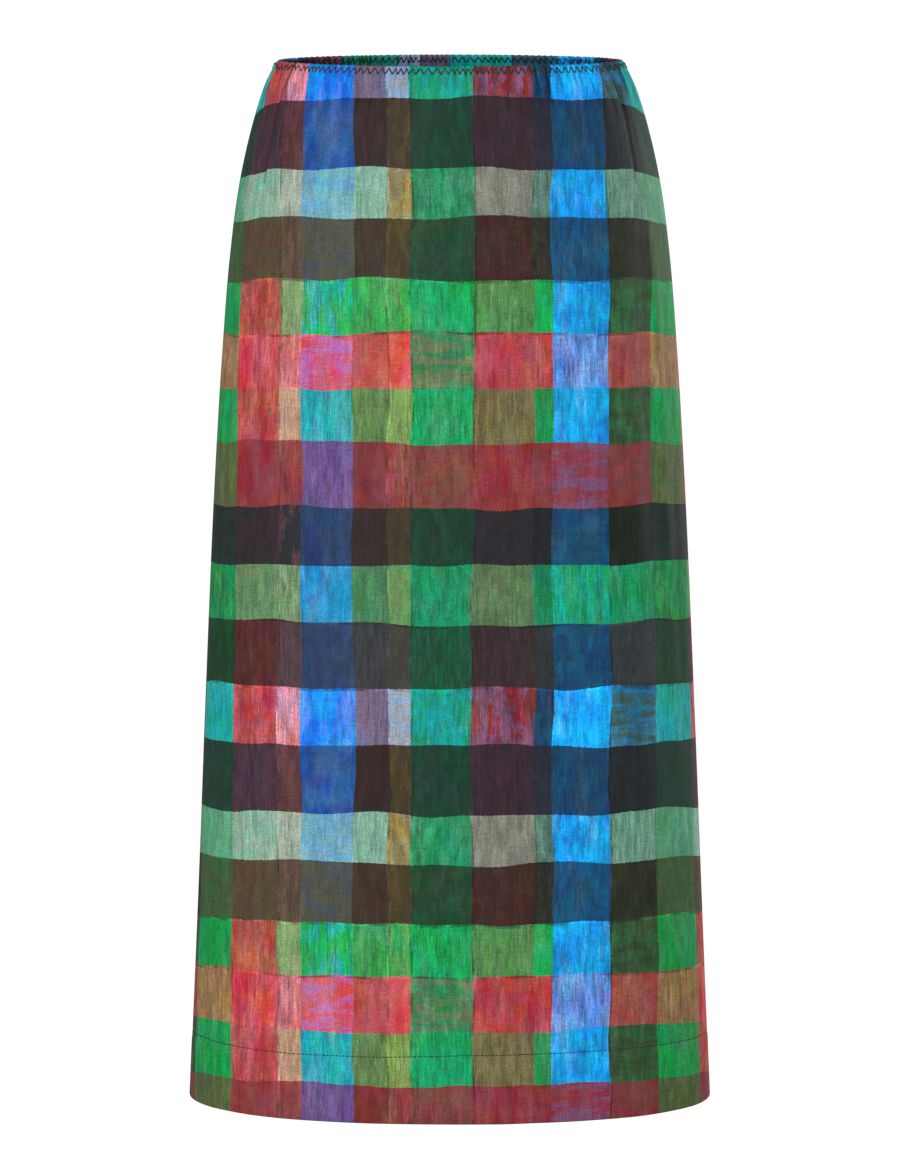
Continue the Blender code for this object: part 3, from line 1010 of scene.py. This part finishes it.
def brush_tone(nodes, cloth, own, streaks, strokes, line):
    """How light the paint is: 1 plus streaks, strokes and skips by the crossing's share, plus blotches.

    That is multiplied by the crosswise marks, the grain, the crossing's own tone, the border lines, which are
    dark, pale or missing, and the painted shade along the seams, dart lines and hem fold.
    """
    uneven = nodes.maths("ADD", nodes.read(streaks, STREAKS), nodes.read(strokes, STROKES))
    uneven = nodes.maths("ADD", uneven, nodes.mark(cloth, SKIPS))
    blotches = nodes.mark(cloth, BLOTCHES, "SMOOTHSTEP")
    blotches = nodes.maths("MULTIPLY", blotches, nodes.read(own.cover, OWN_BLOTCHES))
    tone = nodes.maths("MULTIPLY_ADD", uneven, nodes.read(own.streaks, OWN_STREAKS), 1.0)
    tone = nodes.maths("ADD", tone, blotches)
    # Distance to the nearest seam, dart line or hem fold, which sets the painted shade there
    seam = nodes.add("ShaderNodeAttribute", attribute_name="seam_shade_mm").outputs["Fac"]
    factors = (
        nodes.mark(cloth, CROSSWISE),
        nodes.mark(cloth, GRAIN),
        nodes.read(own.tone, OWN_TONE),
        nodes.maths("MULTIPLY_ADD", line, nodes.mark(cloth, BORDER_GAPS), 1.0),
        nodes.read(seam, SEAM_PAINTED_SHADE),
    )
    for factor in factors:
        tone = nodes.maths("MULTIPLY", tone, factor)
    return tone


def printed_cloth(name, fade):
    """Cloth with a brushed plaid: stripes down it under washes across it, uneven as if laid on by brush.

    Fade is the share of plain pale cloth that shows, which is how the print looks from its wrong side.
    The weave and the streaks raise the surface a little, and the strokes vary its roughness.
    """
    nodes = Nodes(name)
    cloth = nodes.add("ShaderNodeUVMap", uv_map="cloth").outputs["UV"]
    stripe_at, wash_at = print_positions(nodes, cloth)
    stripes, stripe_lines = nodes.bands(stripe_at, STRIPES, [(*linear(s.colour), 1.0) for s in STRIPES])
    washes, wash_lines = nodes.bands(wash_at, WASHES, [(*linear(w.colour), w.cover) for w in WASHES])
    stripe, wash, cover = stripes.outputs["Color"], washes.outputs["Color"], washes.outputs["Alpha"]
    line = nodes.maths("MAXIMUM", stripe_lines.outputs["Color"], wash_lines.outputs["Color"])
    own = crossing_draws(nodes, stripe, wash)
    streaks, strokes = nodes.brushed(cloth, STREAKS), nodes.brushed(cloth, STROKES)

    painted = painted_colour(nodes, cloth, stripe, wash, cover, own)
    tone = brush_tone(nodes, cloth, own, streaks, strokes, line)
    grey = nodes.add("ShaderNodeCombineColor", {0: tone, 1: tone, 2: tone}).outputs[0]
    toned = nodes.mix(1.0, painted, grey, "MULTIPLY")
    nodes.feed(nodes.shader.inputs["Base Color"], nodes.mix(fade, toned, (*linear(PALE_CLOTH), 1.0)))

    weave = nodes.maths("ADD", nodes.brushed(cloth, WEAVE), streaks)
    dent = nodes.add("ShaderNodeBump", {"Strength": 0.35, "Distance": 0.0004, "Height": weave})
    nodes.feed(nodes.shader.inputs["Normal"], dent.outputs["Normal"])
    nodes.feed(nodes.shader.inputs["Roughness"], nodes.read(strokes, ROUGHNESS))
    nodes.shader.inputs["Specular IOR Level"].default_value = 0.20
    nodes.shader.inputs["Sheen Weight"].default_value = 0.03
    nodes.shader.inputs["Sheen Roughness"].default_value = 0.45
    return nodes.material


def sewing_thread(name):
    """Near-black thread, its tone uneven along it from painted highlights where its twist catches the light.
    """
    nodes = Nodes(name)
    place = nodes.add("ShaderNodeTexCoord").outputs["Object"]
    fine = {"Vector": place, "Scale": TWISTS_A_METRE, "Detail": 2.0}
    twist = nodes.add("ShaderNodeTexNoise", fine).outputs["Fac"]
    colour = nodes.mix(nodes.read(twist, TWIST), DARK_THREAD, THREAD_HIGHLIGHT)
    nodes.feed(nodes.shader.inputs["Base Color"], colour)
    dent = nodes.add("ShaderNodeBump", {"Strength": 0.5, "Distance": 0.0002, "Height": twist})
    nodes.feed(nodes.shader.inputs["Normal"], dent.outputs["Normal"])
    nodes.shader.inputs["Roughness"].default_value = 0.55
    return nodes.material


def dress_skirt():
    """Makes every piece of the skirt, rides it on the body and hides the solids that its cloth stands in for.
    """
    printed = printed_cloth("printed_cloth", 0.0)
    wrong_side = printed_cloth("cloth_wrong_side", WRONG_SIDE_FADE)
    thread = sewing_thread("dark_thread")
    for panel in PANELS:
        piece = cloth_panel(panel, [printed, wrong_side])
        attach(piece, "root")
        parts = ("panel", "waist_casing", "hem_turnup")
        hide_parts(*(f"{panel.name}_{part}" for part in parts))
    sewing = (
        zigzag_thread("waist_zigzag_outside", ZIGZAG_LIFT, thread),
        zigzag_thread("waist_zigzag_inside", -2 * WAIST_FOLD_RADIUS - ZIGZAG_LIFT, thread),
        hem_thread("hem_stitching_outside", HEM_STITCH_LIFT, thread),
    )
    for piece in sewing:
        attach(piece, "root")
    allowances = (
        seam_allowance("right_side_allowance", RIGHT_SIDE, [printed]),
        seam_allowance("left_side_allowance", LEFT_SIDE, [printed]),
        seam_allowance("back_allowance", CENTRE_BACK, [printed]),
    )
    for piece in allowances:
        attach(piece, "root")


def room_paint(name):
    """The plain room's paint: pale and matt, with a little light of its own."""
    nodes = Nodes(name)
    nodes.shader.inputs["Base Color"].default_value = ROOM_PAINT
    nodes.shader.inputs["Roughness"].default_value = ROOM_ROUGHNESS
    nodes.shader.inputs["Emission Color"].default_value = WHITE
    nodes.shader.inputs["Emission Strength"].default_value = ROOM_GLOW
    return nodes.material


def make_floor():
    """A pale floor far below, with plain walls and a ceiling as far off: a cube that faces inwards."""
    ring = np.array([[-1.0, -1.0], [1.0, -1.0], [1.0, 1.0], [-1.0, 1.0]])
    corners = np.concatenate([np.column_stack([ring, np.full(4, z)]) for z in (-1.0, 1.0)]) * ROOM_REACH_M
    faces = np.array([[0, 1, 2, 3], [7, 6, 5, 4], [0, 4, 5, 1], [1, 5, 6, 2], [2, 6, 7, 3], [3, 7, 4, 0]])
    floor = mesh_piece("floor", corners, faces, [room_paint("pale_floor")])
    floor.data.shade_flat()
    floor.visible_diffuse, floor.visible_glossy, floor.visible_shadow = False, False, False


def soft_light(row):
    """A square area light, turned from its place towards LAMP_AIM. Without gloss it leaves no highlight."""
    lamp = bpy.data.lights.new(row.name, "AREA")
    lamp.size, lamp.energy = row.size, row.power
    light = bpy.data.objects.new(row.name, lamp)
    way = np.array(row.place) - np.array(LAMP_AIM)
    light.location = row.place
    light.rotation_euler = (math.atan2(math.hypot(way[0], way[1]), way[2]), 0.0, math.atan2(way[0], -way[1]))
    light.visible_glossy = row.gloss
    bpy.context.scene.collection.objects.link(light)


def light_studio():
    """A faint white world, and the lamps: two in front, one at each side edge and one behind."""
    world = bpy.data.worlds.new("studio")
    world.use_nodes = True
    world.node_tree.nodes["Background"].inputs["Color"].default_value = WHITE
    world.node_tree.nodes["Background"].inputs["Strength"].default_value = WORLD_LIGHT
    bpy.context.scene.world = world
    for row in LAMPS:
        soft_light(row)


def make_camera():
    """The camera in front of the skirt and a little above its waist, tilted down."""
    lens = bpy.data.cameras.new("camera")
    lens.lens, lens.sensor_width = CAMERA_LENS, SENSOR
    camera = bpy.data.objects.new("camera", lens)
    camera.location = (0.0, -CAMERA_DISTANCE_M, CAMERA_HEIGHT_M)
    camera.rotation_euler = (math.radians(90.0 - CAMERA_TILT_DEG), 0.0, 0.0)
    bpy.context.scene.collection.objects.link(camera)
    bpy.context.scene.camera = camera


bpy.context.scene.view_settings.view_transform = "Standard"
make_camera()
light_studio()
make_floor()
dress_skirt()
